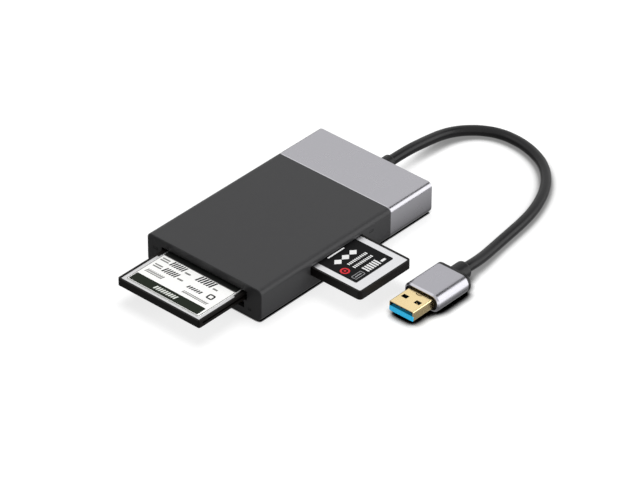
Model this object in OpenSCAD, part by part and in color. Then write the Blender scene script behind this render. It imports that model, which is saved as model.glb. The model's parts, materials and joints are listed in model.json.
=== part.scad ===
// Memory card reader with a short tethered USB plug, two of its cards standing in their slots.
// The origin is the middle of the underside: +Y runs to the cable end, -Y to the front slots,
// +X to the side card slot, -X to the two USB ports, and +Z is up.

/* [Housing] */
// Width of the housing
body_w = 60; // [59:0.5:64]
// Length of the housing, both shells together
body_l = 100; // [99:1:120]
// Height of the housing
body_h = 14.7; // [14.7:0.1:18]
// Radius of the two long upper edges
top_r = 2.4; // [1.8:0.1:3]
// Radius of the two long lower edges
bottom_r = 3.2; // [2:0.1:4]
// Wall thickness of the black shell
shell_wall = 1.5; // [1.2:0.1:1.7]
// Length of the metal end cap
cap_l = 25; // [22:0.5:30]
// Wall thickness of the metal end cap
cap_wall = 1.2; // [0.8:0.1:1.4]
// Thickness of the cap's back wall
cap_back = 1.5; // [1.2:0.1:2]
// Bright chamfer round the cap's front edge, at the seam
seam_chamfer = 0.4; // [0.2:0.05:0.6]
// Small chamfer round the housing's two end faces
end_chamfer = 0.25; // [0.1:0.05:0.5]
// Play between a shell and what slides into it
fit = 0.1; // [0.05:0.05:0.2]

/* [Joining frame] */
// How far the frame reaches into each shell
frame_reach = 6; // [5:0.5:8]
// Wall thickness of the frame
frame_wall = 1.2; // [1:0.1:1.4]
// Diameter of the two bosses that the board is screwed to
boss_d = 4.4; // [3.6:0.1:5]
// Diameter of the board screws
screw_d = 1.6; // [1.2:0.1:2]
// Diameter of the screw heads
screw_head_d = 3; // [2.6:0.1:3.6]
// Height of the screw heads
screw_head_h = 1.1; // [0.8:0.1:1.5]

/* [Board] */
// Height of the board's underside above the floor
board_z = 5.9; // [5.7:0.1:6.1]
// Thickness of the board
board_t = 1; // [0.8:0.1:1.2]
// Gap between the front wall and the board
board_front_gap = 0.5; // [0.3:0.1:1]
// Gap between the cap's back wall and the board
board_back_gap = 4.5; // [4:0.5:7]
// Width of board that the shell's ledges carry
ledge_hold = 0.6; // [0.4:0.1:0.8]
// Thickness of the ledges
ledge_t = 1; // [0.8:0.1:1.4]
// Length of the ledges
ledge_l = 24; // [12:1:24]

/* [Wide card and its socket] */
// Width of the wide card
wide_w = 42.8; // [42:0.1:43.4]
// Length of the wide card
wide_l = 36.4; // [35:0.1:38]
// Thickness of the wide card
wide_t = 3.3; // [3:0.1:3.5]
// How far the wide card stands out of the front
wide_out = 25.6; // [18:0.2:28]
// Height of the wide card above the board
wide_lift = 0.2; // [0.2:0.05:0.4]
// Opening left above the wide card in its slot
wide_over = 0.7; // [0.3:0.1:0.9]
// Play beside the wide card in its slot, each side
wide_side_play = 1; // [0.4:0.1:1.2]
// Width of each guide beside the wide card
guide_w = 1.7; // [1.4:0.1:2.4]
// Distance from the front face to the pin header
header_depth = 21.5; // [20:0.5:21.5]
// Length of the pin header's block
header_l = 4.5; // [3.5:0.1:4.5]
// Pins in each of the header's two rows
pin_count = 25; // [25:1:27]
// Distance between neighbouring pins
pin_pitch = 1.27; // [1.2:0.01:1.3]
// Side of a pin's square section
pin_side = 0.5; // [0.4:0.05:0.6]
// How far the pins reach out of the header
pin_reach = 5; // [4:0.2:5.4]

/* [Side card and its socket] */
// Length of the side card
side_l = 38.5; // [37:0.1:39]
// Width of the side card
side_w = 29.8; // [29:0.1:30]
// Thickness of the side card
side_t = 3.8; // [3.4:0.1:4]
// How far the side card stands out of the side
side_out = 25.2; // [20:0.2:25.4]
// Distance from the front face to the middle of the side slot
side_from_front = 43.2; // [43.2:0.1:46]
// Height of the side card above the board
side_lift = 0.75; // [0.6:0.05:0.9]
// Play beside the side card in its slot, each side
side_side_play = 0.3; // [0.2:0.05:0.5]
// Depth of the side socket, from the wall inwards
side_depth = 26; // [24:0.5:27]
// Sheet thickness of the side socket's cover
side_sheet = 0.3; // [0.2:0.05:0.35]

/* [Lower front sockets] */
// Width of a camera card
camera_w = 24; // [23.5:0.1:24.5]
// Height of the camera card slot
camera_slot_h = 2.8; // [2.5:0.1:2.9]
// Distance of the camera card slot's middle from the housing's middle
camera_x = 8.6; // [6:0.1:10]
// Depth of the camera card socket
camera_depth = 27; // [24:0.5:30]
// Width of a phone card
phone_w = 11; // [10.6:0.1:11.4]
// Height of the phone card slot
phone_slot_h = 1.4; // [1.2:0.1:1.5]
// Distance of the phone card slot's middle from the housing's middle
phone_x = 15.2; // [13:0.1:17]
// Depth of the phone card socket
phone_depth = 16; // [14:0.5:18]
// Sheet thickness of both lower covers
lower_sheet = 0.25; // [0.15:0.05:0.3]

/* [USB ports] */
// Distance from the front face to the middle of the front port
front_port_at = 40; // [38:0.5:42]
// Distance from the front face to the middle of the rear port
rear_port_at = 60; // [58:0.5:62]
// Width of a port's opening
port_w = 12.5; // [12.3:0.1:12.7]
// Height of a port's opening
port_h = 5.12; // [5:0.02:5.3]
// Depth of a port
port_depth = 14; // [12:0.5:15]
// Sheet thickness of a port's shell
port_sheet = 0.35; // [0.25:0.05:0.4]
// Height of the ports' middle above the middle of the board
port_lift = 0.95; // [0.8:0.05:1.2]
// Thickness of a port's tongue
port_tongue_t = 1.84; // [1.6:0.02:2]

/* [Cable] */
// Diameter of the cable
cable_d = 4.5; // [4.1:0.1:4.5]
// Height of the cable's exit above the floor
exit_z = 6.8; // [6.6:0.1:7.4]
// Length of the strain relief outside the housing
boot_l = 9.5; // [8:0.5:14]
// Diameter of the strain relief
boot_d = 6.1; // [6:0.1:7.2]
// Diameter of the strain relief's flange inside the cap
flange_d = 9.6; // [8.4:0.2:10.6]

/* [Plug] */
// Width of the plug's metal sleeve
sleeve_w = 17.6; // [16:0.1:18]
// Thickness of the plug's metal sleeve
sleeve_h = 8.2; // [7.8:0.1:9]
// Length of the plug's metal sleeve
sleeve_l = 17.8; // [17:0.1:24]
// Corner radius of the sleeve's section
sleeve_r = 3.7; // [2:0.1:3.8]
// Wall thickness of the sleeve
sleeve_wall = 0.9; // [0.8:0.1:1.1]
// Chamfer round the sleeve's front edge
sleeve_chamfer = 0.7; // [0.3:0.1:0.7]
// How far the plug's core lies back from the sleeve's front edge
core_recess = 1; // [0.5:0.1:1.5]
// Thickness of the core's rim behind the sleeve
rim_t = 2; // [1:0.1:3]
// Length of the strain relief behind the rim
tail_l = 6.4; // [6:0.2:12]
// Diameter of that strain relief
tail_d = 7.6; // [7:0.1:7.8]
// Width of the plug's tip
tip_w = 12; // [11.8:0.1:12.2]
// Height of the plug's tip
tip_h = 4.5; // [4.4:0.05:4.6]
// Length of the tip in front of the sleeve
tip_l = 11.7; // [11:0.1:13]
// Sheet thickness of the tip
tip_sheet = 0.32; // [0.25:0.01:0.4]
// Thickness of the blue insert
insert_t = 1.95; // [1.8:0.05:2.1]

/* [Hidden] */
$fn = 48;
black = [0.16, 0.16, 0.17];
plastic_dark = [0.09, 0.09, 0.1];
cap_grey = [0.62, 0.62, 0.65];
steel = [0.72, 0.72, 0.74];
gold = [0.9, 0.74, 0.42];
usb_blue = [0.1, 0.5, 0.8];
board_green = [0.08, 0.3, 0.2];
chip_black = [0.1, 0.1, 0.11];

front_y = -body_l / 2;
back_y = body_l / 2;
seam_y = back_y - cap_l;
shell_l = body_l - cap_l;
through = 1;
least_r = 0.3;

board_top = board_z + board_t;
board_half = body_w / 2 - shell_wall - 2 * fit - frame_wall - fit;
board_front = front_y + shell_wall + board_front_gap;
board_back = back_y - cap_back - board_back_gap;
board_r = 1;
screw_from_edge = 4;
screw_x = board_half - screw_from_edge;
screw_y = seam_y + frame_reach / 2;
screw_play = 0.1;
cross_slot = [0.6 * screw_head_d, 0.35];
boss_floor = shell_wall + fit + frame_wall;

wide_z = board_top + wide_lift;
wide_mid = wide_z + wide_t / 2;
slot_play = 0.15;
guide_play = 0.2;
guide_over = 0.6;
guide_top = wide_z + wide_t + guide_over;
groove_deep = 0.9;
groove_h = [1, 1.5];
groove_from_end = 2;
rib_play = 0.15;
header_y = front_y + header_depth;
header_half = wide_w / 2 + guide_play + guide_w;
tail_step = 0.6;
wide_inner = front_y - wide_out + wide_l;
wide_corner = 0.8;
rim_w = 0.9;
panel_deep = 0.4;
panel_t = 0.25;
panel_play = 0.05;
panel_step = 0.8;
panel_step_l = 9;
connector_l = 5.5;
connector_inset = 1.1;
connector_half = wide_w / 2 - connector_inset;
connector_skin = 0.45;
connector_hole = 0.7;
connector_hole_l = 4.6;
wide_bed_gap = 0.7;
wide_bed_l = wide_l - rim_w - connector_l - wide_bed_gap;
label_t = 0.1;
wide_label_side = 2.4;
wide_label_end = 2.2;
wide_label_gap = 2.7;
wide_label_l = wide_bed_l + rim_w - wide_label_end - wide_label_gap;
label_r = 0.6;

side_y = front_y + side_from_front;
side_z = board_top + side_lift;
side_mid = side_z + side_t / 2;
side_mouth = body_w / 2 - shell_wall - fit;
side_play = 0.2;
side_half = side_w / 2 + side_play + side_sheet;
side_far = side_mouth - side_depth + side_sheet;
parts_y = side_y + side_half;
hub_x = -4;
reader_x = 12;
bridge_size = [6, 6, 0.9];
hub_size = [8, 8, 0.9];
reader_size = [10, 10, 1];
hub_gap = 3.4;
reader_gap = 4.4;
crystal_gap = 15.1;
crystal_can = [3.2, 2.5, 0.8];
regulator_at = [-10.5, 4];
inductor_at = [10, 4];
capacitor_row = 10.5;
side_base_t = 0.5;
side_block_l = 4;
side_tongue = [5, 21, 1.2];
side_contact_count = 14;
side_contact = [4.2, 0.6, 0.08];
side_inner = body_w / 2 + side_out - side_l;
side_corner = 1.6;
side_label_w = 21.8;
side_label_end = 5.6;
side_label_gap = 2;
side_pocket = [5.4, 22.4, 1.6];
side_bed_gap = 1;
side_bed_l = side_l - rim_w - side_pocket.x - side_bed_gap;

lower_base_t = 0.3;
camera_side_play = 0.4;
camera_half = camera_w / 2 + camera_side_play + lower_sheet;
camera_bottom = board_z - camera_slot_h - lower_sheet;
camera_stop_l = 2.7;
camera_strip = [1.2, 6, 0.15];
camera_strip_pitch = 2.5;
phone_side_play = 0.3;
phone_half = phone_w / 2 + phone_side_play + lower_sheet;
phone_bottom = board_z - phone_slot_h - lower_sheet;
phone_stop_l = 1.6;
phone_strip = [0.7, 4, 0.1];
phone_strip_pitch = 1.1;

port_mouth = -(body_w / 2 - shell_wall - fit);
port_z = board_z + board_t / 2 + port_lift;
port_block_l = 3.2;
port_tongue_half = 5.6;
port_tongue_back = 1.4;
port_notch_play = 0.2;
port_tab = [4, 1.4, 0.3];

boot_r = boot_d / 2;
boot_round = 0.8;
tail_round = 1.4;
hole_play = 0.05;
flange_t = 1.5;
inner_face = back_y - cap_back;
stub_l = 2.4;
wire_r = 0.4;
wire_l = 5.1;
wire_pitch = 0.9;
wire_z = [board_top + wire_r, board_z - wire_r];

// Cable route from the end of its strain relief to the plug, measured from the housing's back
plug_z = sleeve_h / 2;
floor_z = 2.3;
route = [
    [0, boot_l, exit_z], [0, boot_l + 5.5, exit_z], [0, 22, 6.5], [0, 28.5, 5.8], [0, 35, 4.9],
    [0.3, 41, 4], [1.8, 47, 3.2], [5, 52.5, 2.6], [9.8, 56.8, floor_z], [16, 59.3, floor_z],
    [23, 59.9, floor_z], [30, 59, floor_z], [37, 56.6, floor_z], [43.6, 52.8, floor_z],
    [49.5, 47.3, floor_z], [54.6, 40.2, floor_z], [58.4, 32.3, floor_z], [61, 24.5, floor_z],
    [62.6, 17, floor_z], [63.7, 9.5, floor_z], [64.6, 2.5, floor_z], [65.6, -4.5, 2.4],
    [66.7, -11, 2.8], [67.5, -16.5, 3.4], [67.9, -20.3, 3.9], [68, -22.8, plug_z],
    [68, -24.6, plug_z],
];
cable_sides = 10;
plug_at = route[len(route) - 1] + [0, back_y, 0];
rim_back = plug_at.y - tail_l;
sleeve_back = rim_back - rim_t;
sleeve_front = sleeve_back - sleeve_l;
tip_front = sleeve_front - tip_l;
tip_seat_l = 8;
tip_back = sleeve_front + tip_seat_l;
window = [2.7, 2.1];
window_x = 3.2;
window_from_tip = 6;
curved_mark_r = 2.2;
curved_mark_w = 0.4;
curved_mark_half = 1.5;
curved_mark_from_tip = 9.9;
usb_pitch = 1.25;
tip_r = 0.5;
insert_r = 0.25;
lip_l = 0.3;
insert_back_l = 7;

// Flat section of the housing or the sleeve: x across, y up, standing on y = 0
module section(w, h, rt, rb) {
    translate([-w / 2, rb])
        square([w, h - rt - rb]);
    translate([rt - w / 2, rb])
        square([w - 2 * rt, h - rb]);
    translate([rb - w / 2, 0])
        square([w - 2 * rb, h - rt]);
    for (s = [-1, 1]) {
        translate([s * (w / 2 - rt), h - rt])
            circle(rt);
        translate([s * (w / 2 - rb), rb])
            circle(rb);
    }
}

// Chamfered slice of that section, growing from its front face at y = 0 to full size at y = c
module chamfered_slice(w, h, rt, rb, c) {
    translate([0, 0, rb])
        linear_extrude(h - rt - rb)
            polygon([[c - w / 2, 0], [w / 2 - c, 0], [w / 2, c], [-w / 2, c]]);
    translate([rt - w / 2, 0, 0])
        rotate([90, 0, 90])
            linear_extrude(w - 2 * rt)
                polygon([[0, rb], [c, rb], [c, h], [0, h - c]]);
    translate([rb - w / 2, 0, 0])
        rotate([90, 0, 90])
            linear_extrude(w - 2 * rb)
                polygon([[0, c], [c, 0], [c, h - rt], [0, h - rt]]);
    for (s = [-1, 1]) {
        translate([s * (w / 2 - rt), 0, h - rt])
            rotate([-90, 0, 0])
                cylinder(h = c, r1 = rt - c, r2 = rt);
        translate([s * (w / 2 - rb), 0, rb])
            rotate([-90, 0, 0])
                cylinder(h = c, r1 = rb - c, r2 = rb);
    }
}

// Bar of that section along +Y from y = 0, with a chamfer at either end
module bar(w, h, rt, rb, l, c0 = 0, c1 = 0) {
    translate([0, l - c1, 0])
        rotate([90, 0, 0])
            linear_extrude(l - c0 - c1)
                section(w, h, rt, rb);
    if (c0 > 0)
        chamfered_slice(w, h, rt, rb, c0);
    if (c1 > 0)
        translate([0, l, 0])
            mirror([0, 1, 0])
                chamfered_slice(w, h, rt, rb, c1);
}

// The housing's section moved inwards by a distance, as a bar from y0
module inner_bar(inset, y0, l) {
    translate([0, y0, inset])
        bar(body_w - 2 * inset, body_h - 2 * inset,
            max(top_r - inset, least_r), max(bottom_r - inset, least_r), l);
}

// Block between two corners
module block(low, high) {
    translate(low)
        cube(high - low);
}

// Flat plate with rounded corners, from its lower corner
module plate(size, r) {
    linear_extrude(size.z)
        union() {
            translate([r, 0])
                square([size.x - 2 * r, size.y]);
            translate([0, r])
                square([size.x, size.y - 2 * r]);
            for (x = [r, size.x - r])
                for (y = [r, size.y - r])
                    translate([x, y])
                        circle(r);
        }
}

module front_shell() {
    color(black)
        union() {
            difference() {
                translate([0, front_y, 0])
                    bar(body_w, body_h, top_r, bottom_r, shell_l, c0 = end_chamfer);
                inner_bar(shell_wall, front_y + shell_wall, shell_l);
                front_slot(0, wide_w / 2 + wide_side_play,
                    wide_z - slot_play, wide_t + slot_play + wide_over);
                front_slot(camera_x, camera_w / 2 + camera_side_play,
                    board_z - camera_slot_h, camera_slot_h);
                front_slot(-phone_x, phone_w / 2 + phone_side_play,
                    board_z - phone_slot_h, phone_slot_h);
                side_slot_half = side_w / 2 + side_side_play;
                block([body_w / 2 - shell_wall - through, side_y - side_slot_half, side_z - slot_play],
                    [body_w / 2 + through, side_y + side_slot_half, side_z + side_t + slot_play]);
                for (f = [front_port_at, rear_port_at])
                    port_hole(front_y + f);
            }
            for (s = [0, 1])
                mirror([s, 0, 0])
                    block([board_half - ledge_hold, front_y + shell_wall / 2, board_z - fit - ledge_t],
                        [body_w / 2 - shell_wall / 2, front_y + shell_wall + ledge_l, board_z - fit]);
        }
}

// Port opening cut through the left wall
module port_hole(y) {
    block([-body_w / 2 - through, y - port_w / 2, port_z - port_h / 2],
        [shell_wall + through - body_w / 2, y + port_w / 2, port_z + port_h / 2]);
}

// Slot cut through the front wall
module front_slot(x, half, z, h) {
    block([x - half, front_y - through, z], [x + half, front_y + shell_wall + through, z + h]);
}

module rear_cap() {
    color(cap_grey)
        difference() {
            translate([0, seam_y, 0])
                bar(body_w, body_h, top_r, bottom_r, cap_l, c0 = seam_chamfer, c1 = end_chamfer);
            inner_bar(cap_wall, seam_y - through, cap_l - cap_back + through);
            translate([0, inner_face - through, exit_z])
                rotate([-90, 0, 0])
                    cylinder(h = cap_back + 2 * through, r = boot_r + hole_play);
        }
}

// Plastic frame that bridges the seam inside both shells and carries the board
module joining_frame() {
    color(plastic_dark)
        difference() {
            union() {
                difference() {
                    union() {
                        inner_bar(shell_wall + fit, seam_y - frame_reach, frame_reach);
                        inner_bar(cap_wall + fit, seam_y, frame_reach);
                    }
                    inner_bar(boss_floor, seam_y - frame_reach - through, 2 * frame_reach + 2 * through);
                }
                for (s = [-1, 1])
                    translate([s * screw_x, screw_y, boss_floor - frame_wall / 2])
                        cylinder(h = board_z - boss_floor + frame_wall / 2, d = boss_d);
            }
            for (s = [-1, 1])
                translate([s * screw_x, screw_y, boss_floor])
                    cylinder(h = board_z, d = screw_d + screw_play);
        }
}

module main_board() {
    color(board_green)
        difference() {
            translate([-board_half, board_front, board_z])
                plate([2 * board_half, board_back - board_front, board_t], board_r);
            for (f = [front_port_at, rear_port_at])
                port_notch(front_y + f);
            for (s = [-1, 1])
                translate([s * screw_x, screw_y, board_z - through])
                    cylinder(h = board_t + 2 * through, d = screw_d + 2 * screw_play);
        }
}

// Cut-out that lets a port sink into the board
module port_notch(y) {
    half = port_w / 2 + port_sheet + port_notch_play;
    block([-body_w / 2, y - half, board_z - through],
        [port_mouth + port_depth + port_notch_play, y + half, board_top + through]);
}

module board_screws() {
    color(steel)
        for (s = [-1, 1])
            translate([s * screw_x, screw_y, 0])
                difference() {
                    union() {
                        translate([0, 0, boss_floor + fit])
                            cylinder(h = board_top - boss_floor - fit, d = screw_d);
                        translate([0, 0, board_top])
                            cylinder(h = screw_head_h, d = screw_head_d);
                    }
                    for (a = [0, 90])
                        translate([0, 0, board_top + screw_head_h])
                            rotate([0, 0, a])
                                cube([cross_slot.x, cross_slot.y, screw_head_h], center = true);
                }
}

// Guide beside the wide card, with a rib that runs in the card's groove
module wide_guide(s) {
    near = wide_w / 2 + guide_play;
    rib_half = groove_h[s > 0 ? 0 : 1] / 2 - rib_play;
    color(plastic_dark)
        mirror([s > 0 ? 0 : 1, 0, 0]) {
            block([near, board_front, board_top], [near + guide_w, header_y, guide_top]);
            block([near - guide_play - groove_deep + rib_play, board_front, wide_mid - rib_half],
                [near + guide_w / 2, header_y, wide_mid + rib_half]);
        }
}

module wide_guide_left() {
    wide_guide(-1);
}

module wide_guide_right() {
    wide_guide(1);
}

module wide_header() {
    color(plastic_dark)
        difference() {
            block([-header_half, header_y, board_top], [header_half, header_y + header_l, guide_top]);
            each_pin()
                translate([0, header_y - through, 0])
                    pin_bar(header_l + 2 * through);
        }
}

// Puts its children at each pin's place across the header, at the pin's height
module each_pin() {
    for (row = [-1, 1])
        for (i = [0:pin_count - 1])
            translate([(i - (pin_count - 1) / 2) * pin_pitch, 0, wide_mid + row * pin_pitch / 2])
                children();
}

// Square bar along +Y, centred on the axis
module pin_bar(l) {
    translate([-pin_side / 2, 0, -pin_side / 2])
        cube([pin_side, l, pin_side]);
}

// Pins bent down to the board behind the header, the upper row one step further back
module wide_pins() {
    back = header_y + header_l;
    color(gold)
        for (row = [0, 1])
            for (i = [0:pin_count - 1])
                translate([(i - (pin_count - 1) / 2) * pin_pitch, 0, 0]) {
                    z = wide_mid + (row - 0.5) * pin_pitch;
                    foot = back + row * tail_step;
                    translate([0, header_y - pin_reach, z])
                        pin_bar(foot + pin_side - header_y + pin_reach);
                    translate([-pin_side / 2, foot, board_top])
                        cube([pin_side, pin_side, z + pin_side / 2 - board_top]);
                }
}

// Pressed cover of the side socket: roof, two sides and a back
module side_socket_cover() {
    top = side_z + side_t + side_play + side_sheet;
    color(steel)
        difference() {
            block([side_mouth - side_depth, side_y - side_half, board_top],
                [side_mouth, side_y + side_half, top]);
            block([side_far, side_y - side_half + side_sheet, board_top - through],
                [side_mouth + through, side_y + side_half - side_sheet, top - side_sheet]);
        }
}

module side_socket_base() {
    far = side_far + fit / 2;
    half = side_half - side_sheet - fit / 2;
    tongue_half = side_tongue.y / 2;
    color(plastic_dark)
        union() {
            block([far, side_y - half, board_top], [side_mouth, side_y + half, board_top + side_base_t]);
            block([far, side_y - half, board_top],
                [far + side_block_l, side_y + half, side_z + side_t]);
            block([far, side_y - tongue_half, side_mid - side_tongue.z / 2],
                [far + side_block_l + side_tongue.x, side_y + tongue_half, side_mid + side_tongue.z / 2]);
        }
}

module side_socket_contacts() {
    root = side_far + fit / 2 + side_block_l;
    pitch = (side_tongue.y - side_contact.y) / side_contact_count;
    color(gold)
        for (i = [0:side_contact_count - 1])
            translate([root, side_y + (i - (side_contact_count - 1) / 2) * pitch - side_contact.y / 2,
                    side_mid + side_tongue.z / 2])
                cube(side_contact);
}

// Pressed tray of a socket under the board: a floor, two sides and a back
module lower_cover(x, half, bottom, depth) {
    color(steel)
        difference() {
            block([x - half, board_front, bottom], [x + half, board_front + depth, board_z]);
            block([x - half + lower_sheet, board_front - through, bottom + lower_sheet],
                [x + half - lower_sheet, board_front + depth - lower_sheet, board_z + through]);
        }
}

// Moulded roof of a socket under the board, with the stop at its back
module lower_base(x, half, bottom, depth, stop_l) {
    side = half - lower_sheet - fit / 2;
    back = board_front + depth - lower_sheet - fit / 2;
    color(plastic_dark)
        union() {
            block([x - side, board_front, board_z - lower_base_t], [x + side, back, board_z]);
            block([x - side, back - stop_l, bottom + lower_sheet + fit / 2], [x + side, back, board_z]);
        }
}

// Row of contact strips under that roof
module lower_contacts(x, count, pitch, size, y) {
    color(gold)
        for (i = [0:count - 1])
            translate([x + (i - (count - 1) / 2) * pitch - size.x / 2, y, board_z - lower_base_t - size.z])
                cube(size);
}

module camera_socket_cover() {
    lower_cover(camera_x, camera_half, camera_bottom, camera_depth);
}

module camera_socket_base() {
    lower_base(camera_x, camera_half, camera_bottom, camera_depth, camera_stop_l);
}

module camera_socket_contacts() {
    lower_contacts(camera_x, 9, camera_strip_pitch, camera_strip,
        board_front + camera_depth - lower_sheet - fit / 2 - camera_stop_l - camera_strip.y);
}

module phone_socket_cover() {
    lower_cover(-phone_x, phone_half, phone_bottom, phone_depth);
}

module phone_socket_base() {
    lower_base(-phone_x, phone_half, phone_bottom, phone_depth, phone_stop_l);
}

module phone_socket_contacts() {
    lower_contacts(-phone_x, 8, phone_strip_pitch, phone_strip,
        board_front + phone_depth - lower_sheet - fit / 2 - phone_stop_l - phone_strip.y);
}

// Folded shell of a USB port, open at the housing's side, with two tabs on the board
module port_shell(y) {
    half = port_w / 2 + port_sheet;
    color(steel)
        union() {
            difference() {
                block([port_mouth, y - half, port_z - port_h / 2 - port_sheet],
                    [port_mouth + port_depth, y + half, port_z + port_h / 2 + port_sheet]);
                block([port_mouth - through, y - port_w / 2, port_z - port_h / 2],
                    [port_mouth + port_depth + through, y + port_w / 2, port_z + port_h / 2]);
            }
            for (s = [-1, 1])
                translate([port_mouth + port_depth / 2, y + s * (half + port_tab.y / 2 - port_sheet / 2),
                        board_top + port_tab.z / 2])
                    cube([port_tab.x, port_tab.y + port_sheet, port_tab.z], center = true);
        }
}

// Blue insert of a USB port: the block that closes its back and the tongue
module port_tongue(y) {
    back = port_mouth + port_depth;
    half = port_w / 2 - fit / 2;
    color(usb_blue)
        union() {
            block([back - port_block_l, y - half, port_z - port_h / 2 + fit / 2],
                [back, y + half, port_z + port_h / 2 - fit / 2]);
            block([port_mouth + port_tongue_back, y - port_tongue_half, port_z],
                [back - port_block_l / 2, y + port_tongue_half, port_z + port_tongue_t]);
        }
}

// Contacts under a port's tongue: four long ones and five short ones nearer the root
module port_contacts(y) {
    long_strip = [5.5, 1, 0.1];
    short_strip = [1.6, 0.8, 0.1];
    long_from_tongue_end = 0.6;
    root = port_mouth + port_depth - port_block_l;
    color(gold)
        for (i = [0:8]) {
            strip = i % 2 == 0 ? short_strip : long_strip;
            x = i % 2 == 0 ? root - strip.x : port_mouth + port_tongue_back + long_from_tongue_end;
            translate([x, y + (i - 4) * usb_pitch - strip.y / 2, port_z - strip.z])
                cube(strip);
        }
}

module front_port_shell() {
    port_shell(front_y + front_port_at);
}

module front_port_tongue() {
    port_tongue(front_y + front_port_at);
}

module front_port_contacts() {
    port_contacts(front_y + front_port_at);
}

module rear_port_shell() {
    port_shell(front_y + rear_port_at);
}

module rear_port_tongue() {
    port_tongue(front_y + rear_port_at);
}

module rear_port_contacts() {
    port_contacts(front_y + rear_port_at);
}

// Chip package lying on the board, with a corner mark pressed into its top
module chip(at, size, shade = chip_black) {
    mark_r = 0.4;
    mark_deep = 0.1;
    color(shade)
        translate([at.x - size.x / 2, at.y - size.y / 2, board_top])
            difference() {
                cube(size);
                translate([mark_r * 3, mark_r * 3, size.z - mark_deep])
                    cylinder(h = through, r = mark_r);
            }
}

// Controller of the two ports, behind the side socket
module hub_chip() {
    chip([hub_x, parts_y + hub_gap + hub_size.y / 2], hub_size);
}

// Controller of the card sockets, behind the side socket
module reader_chip() {
    chip([reader_x, parts_y + reader_gap + reader_size.y / 2], reader_size);
}

// Bridge for the side card, midway between the ports' backs and the side socket's
module bridge_chip() {
    chip([(port_mouth + port_depth + side_mouth - side_depth) / 2, side_y], bridge_size);
}

// Crystal behind each of the two large chips
module crystals() {
    color(steel)
        for (x = [hub_x, reader_x])
            translate([x - crystal_can.x / 2, parts_y + crystal_gap, board_top])
                plate(crystal_can, crystal_can.z / 2);
}

// Regulator package with three leads on its front side
module voltage_regulator() {
    package = [6.5, 3.5, 1.6];
    lead = [0.7, 1.6, 0.4];
    lead_pitch = 2.3;
    color(chip_black)
        translate([regulator_at.x, seam_y + regulator_at.y, board_top])
            union() {
                cube(package);
                for (i = [-1:1])
                    translate([package.x / 2 + i * lead_pitch - lead.x / 2, -lead.y, 0])
                        cube([lead.x, lead.y + package.y / 2, lead.z]);
            }
}

module power_inductor() {
    can = [4, 4, 2];
    color([0.3, 0.3, 0.32])
        translate([inductor_at.x, seam_y + inductor_at.y, board_top])
            plate(can, can.x / 5);
}

// Row of nine capacitors across the board
module capacitors() {
    brick = [1.6, 0.8, 0.8];
    pitch = 3;
    color([0.55, 0.42, 0.28])
        for (i = [-4:4])
            translate([i * pitch - brick.x / 2, seam_y + capacitor_row, board_top])
                cube(brick);
}

// Half section of a strain relief's outer part along y, with a rounded end
module relief_half(d, start, end, round) {
    translate([0, start])
        square([d / 2, end - round - start]);
    translate([0, start])
        square([d / 2 - round, end - start]);
    translate([d / 2 - round, end - round])
        circle(round);
}

// Strain relief moulded on the cable: flange inside the cap, and a plain tail through its back wall
module cable_boot() {
    color(plastic_dark)
        translate([0, inner_face, exit_z])
            rotate([-90, 0, 0])
                rotate_extrude()
                    union() {
                        translate([0, -flange_t])
                            square([flange_d / 2, flange_t]);
                        relief_half(boot_d, -flange_t / 2, cap_back + boot_l, boot_round);
                    }
}

// End of the cable's jacket inside the cap
module cable_stub() {
    color(plastic_dark)
        translate([0, inner_face - flange_t - stub_l, exit_z])
            rotate([-90, 0, 0])
                cylinder(h = stub_l, d = cable_d);
}

// Ferrule crimped round the jacket's end
module braid_ferrule() {
    ring_t = 0.4;
    end_gap = 0.3;
    color(steel)
        translate([0, inner_face - flange_t - stub_l + end_gap, exit_z])
            rotate([-90, 0, 0])
                difference() {
                    cylinder(h = stub_l - 2 * end_gap, r = cable_d / 2 + ring_t + hole_play);
                    translate([0, 0, -through])
                        cylinder(h = stub_l + through, r = cable_d / 2 + hole_play);
                }
}

// Eight conductors soldered on the two faces of the board
module cable_wires() {
    start = inner_face - flange_t - stub_l;
    shades = ["red", "white", "green", "black", "blue", "yellow", "purple", "orange"];
    for (face = [0, 1])
        for (i = [0:3])
            color(shades[4 * face + i])
                translate([(i - 1.5) * wire_pitch, start - wire_l, wire_z[face]])
                    rotate([-90, 0, 0])
                        cylinder(h = wire_l, r = wire_r);
}

function unit(v) = v / norm(v);
function heading(i) = unit(route[min(i + 1, len(route) - 1)] - route[max(i - 1, 0)]);
function sideways(t) = unit([t.y, -t.x, 0]);
function ring(i) =
    let (t = heading(i), s = sideways(t), u = cross(s, t), step = 360 / cable_sides)
    [for (k = [0:cable_sides - 1])
        route[i] + [0, back_y, 0] + cable_d / 2 * (cos(k * step) * s + sin(k * step) * u)];

// Cable swept along its route, one ring of points at each place
module cable() {
    rings = len(route);
    n = cable_sides;
    points = [for (i = [0:rings - 1]) each ring(i)];
    walls = [for (i = [0:rings - 2]) for (k = [0:n - 1])
        each [[i * n + k, i * n + (k + 1) % n, (i + 1) * n + k],
            [i * n + (k + 1) % n, (i + 1) * n + (k + 1) % n, (i + 1) * n + k]]];
    first = [[for (k = [n - 1:-1:0]) k]];
    last = [[for (k = [0:n - 1]) (rings - 1) * n + k]];
    color(plastic_dark)
        polyhedron(points = points, faces = concat(walls, first, last));
}

// Places its children in the plug's own frame: x across, y back from the sleeve's front, z up
module in_plug() {
    translate([plug_at.x, sleeve_front, plug_z - sleeve_h / 2])
        children();
}

// Aluminium sleeve round the plug
module plug_sleeve() {
    inner_r = max(sleeve_r - sleeve_wall, least_r);
    color(cap_grey)
        in_plug()
            difference() {
                bar(sleeve_w, sleeve_h, sleeve_r, sleeve_r, sleeve_l, c0 = sleeve_chamfer);
                translate([0, -through, sleeve_wall])
                    bar(sleeve_w - 2 * sleeve_wall, sleeve_h - 2 * sleeve_wall, inner_r, inner_r,
                        sleeve_l + 2 * through);
            }
}

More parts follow.
